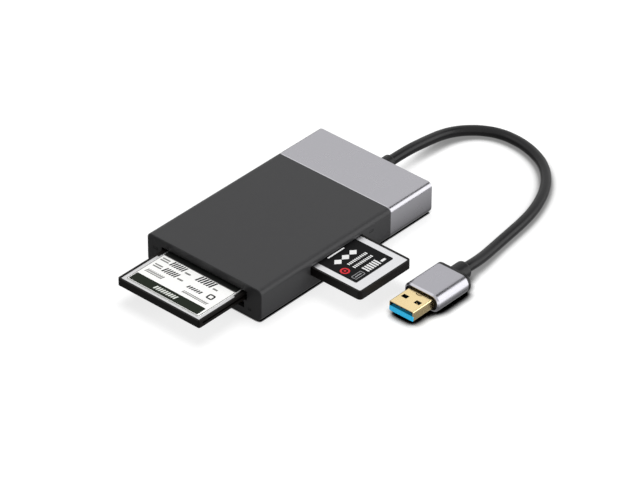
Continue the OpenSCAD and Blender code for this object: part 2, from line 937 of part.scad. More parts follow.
// Moulded core that fills the sleeve, with the rim behind it and the cable's strain relief
module plug_core() {
    inset = sleeve_wall + hole_play;
    inner_r = max(sleeve_r - inset, least_r);
    color(plastic_dark)
        in_plug()
            difference() {
                union() {
                    translate([0, core_recess, inset])
                        bar(sleeve_w - 2 * inset, sleeve_h - 2 * inset, inner_r, inner_r,
                            sleeve_l - core_recess);
                    translate([0, sleeve_l, 0])
                        bar(sleeve_w, sleeve_h, sleeve_r, sleeve_r, rim_t, c1 = rim_t / 3);
                    translate([0, sleeve_l + rim_t, sleeve_h / 2])
                        rotate([-90, 0, 0])
                            rotate_extrude()
                                relief_half(tail_d, -rim_t / 2, tail_l, tail_round);
                }
                translate([0, 0, sleeve_h / 2 - tip_h / 2])
                    block([-tip_w / 2, -through, 0], [tip_w / 2, tip_back - sleeve_front, tip_h]);
            }
}

// Narrow slit bent to an arc, with its middle towards the tip's front
module curved_mark() {
    intersection() {
        difference() {
            circle(curved_mark_r + curved_mark_w / 2);
            circle(curved_mark_r - curved_mark_w / 2);
        }
        translate([-curved_mark_half, -2 * curved_mark_r])
            square([2 * curved_mark_half, 2 * curved_mark_r]);
    }
}

// Gilt steel tip with two latch windows above and below, a curved slit, and a step for the lip
module plug_tip() {
    z0 = plug_z - tip_h / 2;
    color(gold)
        difference() {
            translate([plug_at.x, tip_front, z0])
                difference() {
                    bar(tip_w, tip_h, tip_r, tip_r, tip_back - tip_front);
                    translate([0, -through, tip_sheet])
                        bar(tip_w - 2 * tip_sheet, tip_h - 2 * tip_sheet,
                            tip_r - tip_sheet, tip_r - tip_sheet, tip_back - tip_front + 2 * through);
                }
            for (s = [-1, 1])
                translate([plug_at.x + s * window_x, tip_front + window_from_tip, plug_z])
                    cube([window.x, window.y, tip_h + through], center = true);
            translate([plug_at.x, tip_front + curved_mark_from_tip + curved_mark_r, plug_z])
                linear_extrude(tip_h)
                    curved_mark();
            block([plug_at.x - tip_w / 2 - through, tip_front - through, z0 - through],
                [plug_at.x + tip_w / 2 + through, tip_front + lip_l, z0 + tip_sheet + insert_t]);
        }
}

// Blue insert in the lower half of the tip, with a lip that covers the steel's lower front edge
module plug_insert() {
    w = tip_w - 2 * tip_sheet - fit;
    color(usb_blue)
        translate([plug_at.x, 0, plug_z - tip_h / 2 + tip_sheet])
            union() {
                translate([0, tip_front, -tip_sheet])
                    bar(tip_w, insert_t + tip_sheet, insert_r, tip_r, lip_l);
                translate([0, tip_front + lip_l / 2, 0])
                    bar(w, insert_t, insert_r, insert_r, tip_back - tip_front - lip_l / 2);
                translate([0, tip_back - insert_back_l, 0])
                    bar(w, tip_h - 2 * tip_sheet, insert_r, insert_r, insert_back_l);
            }
}

// Contacts on the insert: four flat ones in front and five springs behind them
module plug_contacts() {
    flat_strip = [1, 6.5, 0.08];
    spring_strip = [0.8, 2.2, 0.25];
    flat_from_tip = 1.4;
    spring_from_tip = 9.6;
    top = plug_z - tip_h / 2 + tip_sheet + insert_t;
    color(gold)
        for (i = [0:8]) {
            strip = i % 2 == 0 ? spring_strip : flat_strip;
            y = tip_front + (i % 2 == 0 ? spring_from_tip : flat_from_tip);
            translate([plug_at.x + (i - 4) * usb_pitch - strip.x / 2, y, top])
                cube(strip);
        }
}

// Wide card's moulded frame, with its guide grooves, panel beds and connector pocket
module wide_card_frame() {
    y0 = front_y - wide_out;
    color(plastic_dark)
        difference() {
            translate([-wide_w / 2, y0, wide_z])
                plate([wide_w, wide_l, wide_t], wide_corner);
            for (z = [wide_z + wide_t - panel_deep, wide_z - through])
                translate([0, y0, z])
                    linear_extrude(panel_deep + through)
                        wide_panel_outline(0);
            block([-connector_half, wide_inner - connector_l, wide_z + connector_skin],
                [connector_half, wide_inner + through, wide_z + wide_t - connector_skin]);
            for (s = [0, 1])
                mirror([s, 0, 0])
                    block([wide_w / 2 - groove_deep, y0 + groove_from_end, wide_mid - groove_h[s] / 2],
                        [wide_w / 2 + through, wide_inner + through, wide_mid + groove_h[s] / 2]);
        }
}

// Female connector at the wide card's inner end
module wide_card_connector() {
    color(chip_black)
        difference() {
            block([-connector_half, wide_inner - connector_l, wide_z + connector_skin],
                [connector_half, wide_inner, wide_z + wide_t - connector_skin]);
            each_pin()
                translate([-connector_hole / 2, wide_inner - connector_hole_l, -connector_hole / 2])
                    cube([connector_hole, connector_hole_l + through, connector_hole]);
        }
}

// Outline of the wide card's beds, narrower towards the connector, moved inwards by a play
module wide_panel_outline(play) {
    inset = rim_w + play;
    far = rim_w + wide_bed_l - play;
    translate([inset - wide_w / 2, inset])
        square([wide_w - 2 * inset, far - panel_step_l - inset]);
    translate([inset + panel_step - wide_w / 2, inset])
        square([wide_w - 2 * (inset + panel_step), far - inset]);
}

// Steel panel lying in one of the wide card's beds
module wide_panel(z) {
    color(steel)
        translate([0, front_y - wide_out, z])
            linear_extrude(panel_t)
                wide_panel_outline(panel_play);
}

module wide_card_top_cover() {
    wide_panel(wide_z + wide_t - panel_deep);
}

module wide_card_bottom_cover() {
    wide_panel(wide_z + panel_deep - panel_t);
}

module wide_card_label() {
    color([0.93, 0.93, 0.92])
        translate([wide_label_side - wide_w / 2, front_y - wide_out + wide_label_end,
                wide_z + wide_t - panel_deep + panel_t])
            plate([wide_w - 2 * wide_label_side, wide_label_l, label_t], label_r);
}

// Side card's moulded frame, with its panel beds and connector pocket
module side_card_frame() {
    color(plastic_dark)
        difference() {
            translate([side_inner, side_y - side_w / 2, side_z])
                plate([side_l, side_w, side_t], side_corner);
            for (z = [side_z + side_t - panel_deep, side_z - through])
                translate([side_inner + side_l - rim_w - side_bed_l, side_y - side_w / 2 + rim_w, z])
                    plate([side_bed_l, side_w - 2 * rim_w, panel_deep + through], side_corner - rim_w);
            block([side_inner - through, side_y - side_pocket.y / 2, side_mid - side_pocket.z / 2],
                [side_inner + side_pocket.x, side_y + side_pocket.y / 2, side_mid + side_pocket.z / 2]);
        }
}

// Steel panel lying in one of the side card's beds
module side_panel(z) {
    play = rim_w + panel_play;
    color(steel)
        translate([side_inner + side_l - play - side_bed_l + 2 * panel_play, side_y - side_w / 2 + play, z])
            plate([side_bed_l - 2 * panel_play, side_w - 2 * play, panel_t], side_corner - rim_w);
}

module side_card_top_cover() {
    side_panel(side_z + side_t - panel_deep);
}

module side_card_bottom_cover() {
    side_panel(side_z + panel_deep - panel_t);
}

module side_card_label() {
    label_l = side_bed_l + rim_w - side_label_end - side_label_gap;
    color(plastic_dark)
        translate([side_inner + side_l - side_label_end - label_l, side_y - side_label_w / 2,
                side_z + side_t - panel_deep + panel_t])
            plate([label_l, side_label_w, label_t], label_r);
}

front_shell();
rear_cap();
joining_frame();
main_board();
board_screws();
wide_guide_left();
wide_guide_right();
wide_header();
wide_pins();
side_socket_cover();
side_socket_base();
side_socket_contacts();
camera_socket_cover();
camera_socket_base();
camera_socket_contacts();
phone_socket_cover();
phone_socket_base();
phone_socket_contacts();
front_port_shell();
front_port_tongue();
front_port_contacts();
rear_port_shell();
rear_port_tongue();
rear_port_contacts();
hub_chip();
reader_chip();
bridge_chip();
crystals();
voltage_regulator();
power_inductor();
capacitors();
cable_boot();
cable_stub();
braid_ferrule();
cable_wires();
cable();
plug_sleeve();
plug_core();
plug_tip();
plug_insert();
plug_contacts();
wide_card_frame();
wide_card_connector();
wide_card_top_cover();
wide_card_bottom_cover();
wide_card_label();
side_card_frame();
side_card_top_cover();
side_card_bottom_cover();
side_card_label();
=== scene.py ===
"""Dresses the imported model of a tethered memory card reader: finishes, cable, prints and studio."""

import json
import math

import bmesh
import bpy
from mathutils import Matrix, Vector

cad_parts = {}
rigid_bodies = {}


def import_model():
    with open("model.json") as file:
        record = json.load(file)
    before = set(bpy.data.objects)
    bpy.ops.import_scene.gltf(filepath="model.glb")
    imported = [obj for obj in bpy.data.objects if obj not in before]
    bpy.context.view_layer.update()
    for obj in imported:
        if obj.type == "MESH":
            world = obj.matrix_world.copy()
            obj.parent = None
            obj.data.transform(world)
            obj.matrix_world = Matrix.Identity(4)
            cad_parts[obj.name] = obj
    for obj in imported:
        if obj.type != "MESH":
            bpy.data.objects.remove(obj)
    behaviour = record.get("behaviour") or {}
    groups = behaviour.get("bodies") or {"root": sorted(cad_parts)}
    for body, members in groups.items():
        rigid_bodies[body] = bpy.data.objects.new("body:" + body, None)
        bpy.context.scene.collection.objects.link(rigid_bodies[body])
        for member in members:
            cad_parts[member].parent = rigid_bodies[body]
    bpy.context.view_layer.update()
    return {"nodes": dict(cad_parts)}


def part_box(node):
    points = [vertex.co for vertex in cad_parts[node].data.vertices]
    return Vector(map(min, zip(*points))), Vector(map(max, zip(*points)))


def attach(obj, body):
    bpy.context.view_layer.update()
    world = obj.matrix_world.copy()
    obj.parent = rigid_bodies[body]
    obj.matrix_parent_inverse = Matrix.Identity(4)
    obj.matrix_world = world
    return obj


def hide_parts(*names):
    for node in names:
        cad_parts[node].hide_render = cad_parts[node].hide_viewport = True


bl_info = {
    "name": "Memory Card Reader",
    "version": (1, 0, 0),
    "blender": (4, 5, 0),
    "location": "3D View > Sidebar > Card Reader",
    "description": "Builds the looks of a tethered memory card reader with two cards in its slots",
    "category": "Object",
}

for leftover in list(bpy.data.objects):
    bpy.data.objects.remove(leftover)
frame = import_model()

MM = 0.001
BODY = "root"

# The camera of the photograph, solved from the housing's edges; the focal length is in pixels
CAMERA_TARGET = Vector((9.45, 6.54, 0.0)) * MM
CAMERA_DISTANCE = 1720.2 * MM
CAMERA_AZIMUTH = math.radians(41.58)
CAMERA_ELEVATION = math.radians(34.86)
CAMERA_ROLL = math.radians(0.31)
SENSOR_WIDTH = 36.0
FOCAL_PIXELS = 4382.0
IMAGE_WIDTH = 640.0
CLIP_START, CLIP_END = 0.05, 30.0

# The cable's route from its strain relief to the plug, in millimetres from the housing's back edge
FLOOR_Z = 2.3  # height of its axis where it lies on the floor
HOUSING_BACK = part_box("rear_cap")[1].y / MM
ROUTE = [
    (0, 9.5, 6.8), (0, 15, 6.8), (0, 22, 6.5), (0, 28.5, 5.8), (0, 35, 4.9),
    (0.3, 41, 4), (1.8, 47, 3.2), (5, 52.5, 2.6), (9.8, 56.8, FLOOR_Z), (16, 59.3, FLOOR_Z),
    (23, 59.9, FLOOR_Z), (30, 59, FLOOR_Z), (37, 56.6, FLOOR_Z), (43.6, 52.8, FLOOR_Z),
    (49.5, 47.3, FLOOR_Z), (54.6, 40.2, FLOOR_Z), (58.4, 32.3, FLOOR_Z), (61, 24.5, FLOOR_Z),
    (62.6, 17, FLOOR_Z), (63.7, 9.5, FLOOR_Z), (64.6, 2.5, FLOOR_Z), (65.6, -4.5, 2.4),
    (66.7, -11, 2.8), (67.5, -16.5, 3.4), (67.9, -20.3, 3.9), (68, -22.8, 4.1),
    (68, -24.6, 4.1),
]
CABLE_ROUNDNESS = 8

# Lamps: name, place and size in metres, power in watts
LAMPS = [
    ("overhead", (-0.3, 0.35, 1.25), (0.9, 0.9), 15.2),
    ("right_side", (1.15, 0.12, 0.24), (0.8, 0.3), 12.3),
]
# Light of the surroundings on matt surfaces, and the two shares of the floor's white for the camera
GLOW = 0.26
FLOOR_LIFT = 0.74
FLOOR_LIT = 0.33
FLOOR_BOUNCE = 0.4  # grey of the floor for the light that it throws back
FLOOR_HALF = 4.0
FLOOR_SINK = 0.02 * MM
# Contact shadow on the floor: its reach by the housing and away from it, the openness from which it is
# black and from which it is gone, and its share by the cable
CONTACT_REACH = (1.2 * MM, 5.5 * MM)
CONTACT_RANGE = (0.5, 0.93)
CABLE_SHADE = 0.7
# Patches of the surroundings in reflections: azimuth from +X, elevation, outer and inner radius in
# degrees, gain
PATCHES = [(44, 21, 24, 20, 1.4), (70, 49, 16, 10, -1.0), (226, 38, 20, 12, 0.7)]
# Painted reflection: level of the floor in reflections, by the distance in millimetres to the right of the
# housing; a painted shadow near the housing and by the plug, and a painted glow brighter than white further
# out
PAINTED_FLOOR_REFLECTION = [
    (-0.5, 0.3), (0, 0.12), (1.5, 0.22), (3, 0.32), (5, 0.42), (10, 0.58), (14, 0.72), (20, 0.6),
    (34, 0.48), (42, 0.4), (44, 0.33), (46.5, 0.28), (49.5, 0.2), (51.5, 0.48), (55, 1.5), (61, 2.3),
]

# Skin of the folded tip and the level of the painted shade on its inner faces; how far in from the plug's
# front a painted shade darkens the blue insert, and its painted glow
TIP_SKIN, TIP_INSIDE_SHADE = 0.27 * MM, 0.05
INSERT_SHADE_REACH, INSERT_GLOW = 5 * MM, 0.3

# All print sizes are in millimetres. Card signs beside the slots: centre and size on the wall, and the
# length of their contacts
FRONT_SIGNS = [((-25.6, 9.05), (2.6, 1.1), 0.45), ((23.8, 3.6), (1.5, 1.2), 0.4)]
SIDE_SIGNS = [((13.6, 10.2), (2.4, 1.1), 0.3)]
SIGN_STROKE, SIGN_CORNER = 0.13, 0.2
SIGN_CONTACTS, CONTACT_WIDTH, CONTACT_RISE = 4, 0.18, 0.24
# Stripes: the share of a step that is inked, the round of their corners, and their slant
STRIPE_SHARE, STRIPE_CORNER, SLANT = 0.6, 0.1, 0.25
# Wide card, across from its middle and up from its outer end: a bar has two corners and their round, a
# set of stripes two corners and their number, an outline two corners, its stroke and its round
BAND = ((-18.3, 0.7), (17.6, 5.7), 0.5)
BAND_STRIPES = [((-6.9, 2.1), (4.2, 4.3), 9)]
DARK_STRIPES = [((-12.8, 17.2), (-5.9, 20.4), 6), ((-12.3, 12.4), (-5.4, 15.6), 6),
                ((1.4, 16.6), (9.2, 20.6), 6), ((2.2, 11.0), (9.1, 12.8), 6)]
DARK_SQUARE = ((12.2, 10.9), (15.4, 14.1), 0.7, 0.8)
GREY_BARS = [((-17.7, 18.9), (-13.8, 19.6), 0.15), ((-17.7, 17.6), (-13.5, 18.3), 0.15),
             ((-17.3, 14.2), (-13.3, 14.9), 0.15), ((-17.3, 12.9), (-13.0, 13.6), 0.15),
             ((-4.6, 17.3), (-1.7, 18.2), 0.15), ((-4.2, 12.5), (-1.3, 13.4), 0.15),
             ((10.6, 16.7), (12.9, 17.6), 0.15)]
GREY_STRIPES = [((-17.2, 8.2), (-8.6, 10.4), 9), ((3.0, 7.5), (15.6, 9.0), 14)]
# Painted shade: a dark strip across the label's inner end, where it goes into the slot; and the fine outline
# along the rest of its edge
SHADE_STRIP_LENGTH, SHADE_STRIP_MARGIN, SHADE_STRIP_GAP = 4.2, 0.1, 0.02
EDGE_MARGIN, EDGE_STROKE, EDGE_CORNER = 0.12, 0.32, 0.5
# Side card, in from its outer end's corner: the same kinds of shapes, and the red ring
WHITE_BARS = [((4.8, 18.5), (14.3, 19.2), 0.3), ((17.0, 1.7), (19.6, 2.8), 0.2)]
WHITE_STRIPES = [((6.9, 9.5), (17.6, 10.9), 11), ((6.9, 6.7), (17.6, 8.1), 11), ((8.6, 1.3), (16.2, 4.9), 6)]
LOZENGES = [(5.6, 14.3), (10.0, 14.3), (14.4, 14.3)]
LOZENGE_HALF = (2.1, 1.8)
FINE_BOX = ((1.4, 1.3), (7.0, 4.0), 0.3, 0.45)
FINE_BAR = ((2.3, 2.4), (6.1, 2.9), 0.1)
MARK_CENTRE = (2.9, 8.3)
MARK_RADIUS, MARK_STROKE, MARK_DOT = 2.0, 0.75, 0.55


def srgb(code):
    """Linear colour of a six-digit screen colour."""
    parts = [int(code[i:i + 2], 16) / 255 for i in (0, 2, 4)]
    return tuple(p / 12.92 if p <= 0.04045 else ((p + 0.055) / 1.055) ** 2.4 for p in parts)


class ReaderFinishes(bpy.types.PropertyGroup):
    """Colours of the reader's finishes."""

    shell: bpy.props.FloatVectorProperty(
        name="Shell", description="Black moulded shell", subtype="COLOR", default=srgb("303031"))
    cap: bpy.props.FloatVectorProperty(
        name="Cap", description="Anodised aluminium of the end cap", subtype="COLOR", default=srgb("b2b1b6"))
    sleeve: bpy.props.FloatVectorProperty(
        name="Sleeve", description="Anodised aluminium of the plug's sleeve", subtype="COLOR",
        default=srgb("b0afb5"))
    gilt: bpy.props.FloatVectorProperty(
        name="Gilt", description="Gilt steel of the plug's tip", subtype="COLOR", default=srgb("f5deaa"))
    rubber: bpy.props.FloatVectorProperty(
        name="Rubber", description="Jacket and mouldings of the cable", subtype="COLOR",
        default=srgb("161617"))
    insert: bpy.props.FloatVectorProperty(
        name="Insert", description="Blue plastic of the plug and the ports", subtype="COLOR",
        default=(0.03, 0.6, 1.0))
    board: bpy.props.FloatVectorProperty(
        name="Board", description="Solder mask of the circuit board", subtype="COLOR",
        default=srgb("1d4a38"))
    card_body: bpy.props.FloatVectorProperty(
        name="Card body", description="Moulded frames of the two cards", subtype="COLOR",
        default=srgb("0d0b0a"))
    paper: bpy.props.FloatVectorProperty(
        name="Paper", description="White field of the wide card's label", subtype="COLOR",
        default=srgb("f6f6f4"))
    film: bpy.props.FloatVectorProperty(
        name="Film", description="Black label of the side card", subtype="COLOR", default=srgb("0e0e0f"))
    # This ink also paints the slot's shade across the inner end of the wide card's label
    ink: bpy.props.FloatVectorProperty(
        name="Ink", description="Dark print on the wide card", subtype="COLOR", default=srgb("1c1d1c"))
    band: bpy.props.FloatVectorProperty(
        name="Band", description="Dark band across the wide card", subtype="COLOR", default=srgb("1d231b"))
    mark: bpy.props.FloatVectorProperty(
        name="Mark", description="Red mark on the side card", subtype="COLOR", default=srgb("c8202c"))


class ReaderSizes(bpy.types.PropertyGroup):
    """Sizes that only the looks use."""

    edge_round: bpy.props.FloatProperty(
        name="Edge round", description="Round along the sharp edges of the housing", unit="LENGTH",
        default=0.12 * MM)
    print_height: bpy.props.FloatProperty(
        name="Print height", description="How far a print stands off its label", unit="LENGTH",
        default=0.02 * MM)
    cable_diameter: bpy.props.FloatProperty(
        name="Cable diameter", description="Diameter of the cable's jacket", unit="LENGTH", default=4.5 * MM)
    lamp_level: bpy.props.FloatProperty(
        name="Lamp level", description="Factor on the power of every lamp", default=1.0)


def add_node(material, kind, **values):
    """New shader node with its named inputs and properties set."""
    node = material.node_tree.nodes.new(kind)
    for key, value in values.items():
        if key in node.inputs:
            node.inputs[key].default_value = value
        else:
            setattr(node, key, value)
    return node


def link(material, output, target):
    """Joins an output to an input."""
    material.node_tree.links.new(output, target)


def plain_finish(name, colour, roughness, metallic=0.0, specular=0.5):
    """Material with one shader, and the shader itself."""
    material = bpy.data.materials.new(name)
    material.use_nodes = True
    shader = material.node_tree.nodes["Principled BSDF"]
    shader.inputs["Base Color"].default_value = (*colour, 1)
    shader.inputs["Roughness"].default_value = roughness
    shader.inputs["Metallic"].default_value = metallic
    shader.inputs["Specular IOR Level"].default_value = specular
    return material, shader


def noise(material, scale, detail=3.0, stretch=(1, 1, 1)):
    """Noise over the object's own coordinates, with the scale in cells for each metre."""
    place = add_node(material, "ShaderNodeTexCoord")
    mapping = add_node(material, "ShaderNodeMapping")
    mapping.inputs["Scale"].default_value = stretch
    link(material, place.outputs["Object"], mapping.inputs["Vector"])
    texture = add_node(material, "ShaderNodeTexNoise", Scale=scale, Detail=detail, Roughness=0.6)
    link(material, mapping.outputs["Vector"], texture.inputs["Vector"])
    return texture.outputs["Fac"]


def position(material):
    """Object coordinates of the surface, as three outputs."""
    place = add_node(material, "ShaderNodeTexCoord")
    split = add_node(material, "ShaderNodeSeparateXYZ")
    link(material, place.outputs["Object"], split.inputs["Vector"])
    return split.outputs


def remap(owner, value, source, target, kind="LINEAR"):
    """Moves a value from one range into another."""
    node = add_node(owner, "ShaderNodeMapRange", interpolation_type=kind)
    for name, number in zip(("From Min", "From Max", "To Min", "To Max"), (*source, *target)):
        node.inputs[name].default_value = number
    link(owner, value, node.inputs["Value"])
    return node.outputs["Result"]


def spread(material, value, low, high):
    """The noise value moved into a range."""
    return remap(material, value, (0.3, 0.7), (low, high))


def combine(owner, operation, first, second):
    """One number from two, where either may be an output or a constant."""
    node = add_node(owner, "ShaderNodeMath", operation=operation)
    for socket, value in zip(node.inputs, (first, second)):
        if isinstance(value, (int, float)):
            socket.default_value = value
        else:
            link(owner, value, socket)
    return node.outputs[0]


def add_ramp(owner, value, stops, kind="LINEAR"):
    """Colour that follows a value through the given stops."""
    node = add_node(owner, "ShaderNodeValToRGB")
    node.color_ramp.interpolation = kind
    while len(node.color_ramp.elements) < len(stops):
        node.color_ramp.elements.new(0.5)
    for element, (at, colour) in zip(node.color_ramp.elements, stops):
        element.position = at
        element.color = (*colour, 1)
    link(owner, value, node.inputs["Fac"])
    return node.outputs["Color"]


def mix_colours(material, share, first, second):
    """Colour between two, where each is an output or a linear colour."""
    mix = add_node(material, "ShaderNodeMix", data_type="RGBA")
    factor, a, b = (next(s for s in mix.inputs if s.identifier == name)
                    for name in ("Factor_Float", "A_Color", "B_Color"))
    link(material, share, factor)
    for socket, value in ((a, first), (b, second)):
        if isinstance(value, bpy.types.NodeSocket):
            link(material, value, socket)
        else:
            socket.default_value = (*value, 1)
    return next(s for s in mix.outputs if s.identifier == "Result_Color")


def vary_colour(material, shader, value, amount):
    """Base colour that runs a little darker and lighter with the noise."""
    colour = shader.inputs["Base Color"].default_value[:3]
    dark = [c * (1 - amount) for c in colour]
    light = [min(1, c * (1 + amount)) for c in colour]
    mixed = mix_colours(material, spread(material, value, 0, 1), dark, light)
    link(material, mixed, shader.inputs["Base Color"])


def add_bump(material, shader, value, depth):
    """Bump whose height difference is given in metres."""
    bump = add_node(material, "ShaderNodeBump", Distance=depth, Strength=1.0)
    link(material, value, bump.inputs["Height"])
    link(material, bump.outputs["Normal"], shader.inputs["Normal"])


def soft_edges(material, shader, radius):
    """Rounds the look of sharp edges, also where the surface has a bump."""
    edge = add_node(material, "ShaderNodeBevel", samples=4, Radius=radius)
    bumps = [n for n in material.node_tree.nodes if n.bl_idname == "ShaderNodeBump"]
    target = bumps[0].inputs["Normal"] if bumps else shader.inputs["Normal"]
    link(material, edge.outputs["Normal"], target)


def give_grain(material, shader, grain, tone, depth, wear, low, high, edge=0.0):
    """Lays a grain on a shader: its colour and relief from one noise, its roughness from another."""
    vary_colour(material, shader, grain, tone)
    link(material, spread(material, wear, low, high), shader.inputs["Roughness"])
    add_bump(material, shader, grain, depth)
    if edge:
        soft_edges(material, shader, edge)
    return material


def moulded_finish(name, colour, roughness=0.5, specular=0.3, grain=2600, depth=0.004 * MM, tone=0.05,
                   edge=0.0):
    """Moulded plastic with a fine spark-eroded grain."""
    material, shader = plain_finish(name, colour, roughness, specular=specular)
    return give_grain(material, shader, noise(material, grain), tone, depth,
                      noise(material, 140), roughness - 0.015, roughness + 0.015, edge)


def anodised_finish(name, colour, edge):
    """Bead-blasted and anodised aluminium."""
    material, shader = plain_finish(name, colour, 0.28, metallic=1.0)
    return give_grain(material, shader, noise(material, 3000, detail=2.0), 0.022, 0.0006 * MM,
                      noise(material, 160), 0.265, 0.3, edge)


def metal_finish(name, colour, roughness, depth=0.00005 * MM, grain=3000, edge=0.0):
    """Rolled or plated sheet metal with faint rolling lines."""
    material, shader = plain_finish(name, colour, roughness, metallic=1.0)
    return give_grain(material, shader, noise(material, grain, stretch=(1, 0.06, 1)), 0.015, depth,
                      noise(material, 200), roughness - 0.02, roughness + 0.03, edge)


def paint_inside_shade(material, node, skin, share):
    """Paints shade on the inner faces of a folded sheet by darkening their colour, from its box in the row's
    frame.
    """
    shader = material.node_tree.nodes["Principled BSDF"]
    low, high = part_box(node)
    place = position(material)
    within = []
    for axis, name in ((0, "X"), (2, "Z")):
        test = add_node(material, "ShaderNodeMath", operation="COMPARE")
        link(material, place[name], test.inputs[0])
        test.inputs[1].default_value = (low[axis] + high[axis]) / 2
        test.inputs[2].default_value = (high[axis] - low[axis]) / 2 - skin
        within.append(test.outputs[0])
    colour = shader.inputs["Base Color"].links[0].from_socket
    # Colour of the painted shade inside the sheet
    painted_shade = (share, share * 0.9, share * 0.7)
    mixed = mix_colours(material, combine(material, "MULTIPLY", *within), colour, painted_shade)
    link(material, mixed, shader.inputs["Base Color"])


def rubber_finish(name, colour):
    """Satin thermoplastic rubber of a cable's jacket."""
    material, shader = plain_finish(name, colour, 0.34, specular=0.25)
    return give_grain(material, shader, noise(material, 1800), 0.06, 0.002 * MM,
                      noise(material, 90), 0.27, 0.35)


def printed_finish(name, colour, roughness=0.45, specular=0.3):
    """Printed film or ink, with the faint unevenness of a thin layer."""
    material, shader = plain_finish(name, colour, roughness, specular=specular)
    fine = noise(material, 900)
    return give_grain(material, shader, fine, 0.02, 0.001 * MM, fine, roughness - 0.05, roughness + 0.05)


def board_finish(name, colour):
    """Solder mask of the circuit board, with tracks as a faint relief."""
    material, shader = plain_finish(name, colour, 0.35)
    place = add_node(material, "ShaderNodeTexCoord")
    tracks = add_node(material, "ShaderNodeTexBrick", Scale=420.0)
    tracks.inputs["Mortar Size"].default_value = 0.03
    tracks.inputs["Color1"].default_value = (*colour, 1)
    tracks.inputs["Color2"].default_value = (*[c * 0.85 for c in colour], 1)
    tracks.inputs["Mortar"].default_value = (*[c * 1.8 for c in colour], 1)
    link(material, place.outputs["Object"], tracks.inputs["Vector"])
    link(material, tracks.outputs["Color"], shader.inputs["Base Color"])
    link(material, spread(material, noise(material, 300), 0.3, 0.42), shader.inputs["Roughness"])
    add_bump(material, shader, tracks.outputs["Fac"], 0.02 * MM)
    return material


def wire_finish(name):
    """Jackets of the conductors, one colour for each strip across the board."""
    material, shader = plain_finish(name, (0.5, 0.5, 0.5), 0.4)
    across = remap(material, position(material)["X"], (-1.8 * MM, 1.8 * MM), (0, 1))
    shades = [(0, srgb("b01c1c")), (0.25, srgb("e6e6e2")), (0.5, srgb("1f8a3c")), (0.75, srgb("161616"))]
    link(material, add_ramp(material, across, shades, "CONSTANT"), shader.inputs["Base Color"])
    add_bump(material, shader, noise(material, 1500), 0.004 * MM)
    return material


def coat(node, material):
    """Gives a CAD node its finish."""
    target = frame["nodes"][node]
    target.data.materials.clear()
    target.data.materials.append(material)


def make_piece(name, bm, material):
    """Turns a bmesh in the row's frame into a piece that rides with the reader."""
    mesh = bpy.data.meshes.new(name)
    bm.to_mesh(mesh)
    bm.free()
    piece = bpy.data.objects.new(name, mesh)
    bpy.context.scene.collection.objects.link(piece)
    mesh.materials.append(material)
    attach(piece, BODY)


def add_bar(bm, low, high, corner=0.0):
    """Flat rectangle between two corners, in millimetres, with rounded corners."""
    made = bmesh.ops.create_grid(bm, x_segments=1, y_segments=1, size=0.5)["verts"]
    size = (high[0] - low[0], high[1] - low[1], 1)
    bmesh.ops.scale(bm, vec=size, verts=made)
    bmesh.ops.translate(bm, vec=((low[0] + high[0]) / 2, (low[1] + high[1]) / 2, 0), verts=made)
    face = made[0].link_faces[0]
    if corner:
        bmesh.ops.bevel(bm, geom=made, offset=corner, offset_type="OFFSET", affect="VERTICES", segments=4,
                        profile=0.5, material=-1)
        bm.faces.ensure_lookup_table()
        face = bm.faces[-1]
    return face


def add_outline(bm, low, high, stroke, corner=0.0):
    """Flat frame of one stroke round a rectangle."""
    face = add_bar(bm, low, high, corner)
    hollow(bm, face, stroke)


def add_ring(bm, centre, radius, stroke):
    """Flat ring, or a disc where the stroke is the radius."""
    made = bmesh.ops.create_circle(bm, cap_ends=True, segments=32, radius=radius)["verts"]
    bmesh.ops.translate(bm, vec=(*centre, 0), verts=made)
    if stroke < radius:
        hollow(bm, made[0].link_faces[0], stroke)


def hollow(bm, face, stroke):
    """Leaves only a border of a face."""
    bmesh.ops.inset_individual(bm, faces=[face], thickness=stroke, depth=0)
    bmesh.ops.delete(bm, geom=[face], context="FACES_ONLY")


def add_hatch(bm, low, high, count, lean=0.0):
    """Even stripes between two corners, where the real one has a word or a number."""
    known = set(bm.verts)
    step = (high[0] - low[0]) / (count - 1 + STRIPE_SHARE)
    for i in range(count):
        x = low[0] + i * step
        add_bar(bm, (x, low[1]), (x + step * STRIPE_SHARE, high[1]), STRIPE_CORNER)
    for vert in bm.verts:
        if vert not in known:
            vert.co.x += lean * (vert.co.y - low[1])


def lay_print(name, bm, origin, across, up, height, material):
    """Gives flat shapes their thickness and lays them on a surface of the reader."""
    bmesh.ops.recalc_face_normals(bm, faces=bm.faces)
    if bm.faces[:] and bm.faces[:][0].normal.z < 0:
        bmesh.ops.reverse_faces(bm, faces=bm.faces)
    flat = bm.faces[:]
    raised = bmesh.ops.extrude_face_region(bm, geom=flat)["geom"]
    raised = [v for v in raised if isinstance(v, bmesh.types.BMVert)]
    bmesh.ops.translate(bm, vec=(0, 0, height / MM), verts=raised)
    bmesh.ops.recalc_face_normals(bm, faces=bm.faces)
    across, up = Vector(across), Vector(up)
    turn = Matrix((across, up, across.cross(up))).transposed().to_4x4()
    bmesh.ops.transform(bm, matrix=Matrix.Translation(origin) @ turn @ Matrix.Scale(MM, 4), verts=bm.verts)
    make_piece(name, bm, material)


def side_of(node, axis, end):
    """Coordinate in metres of one side of a node's box."""
    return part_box(node)[end][axis]


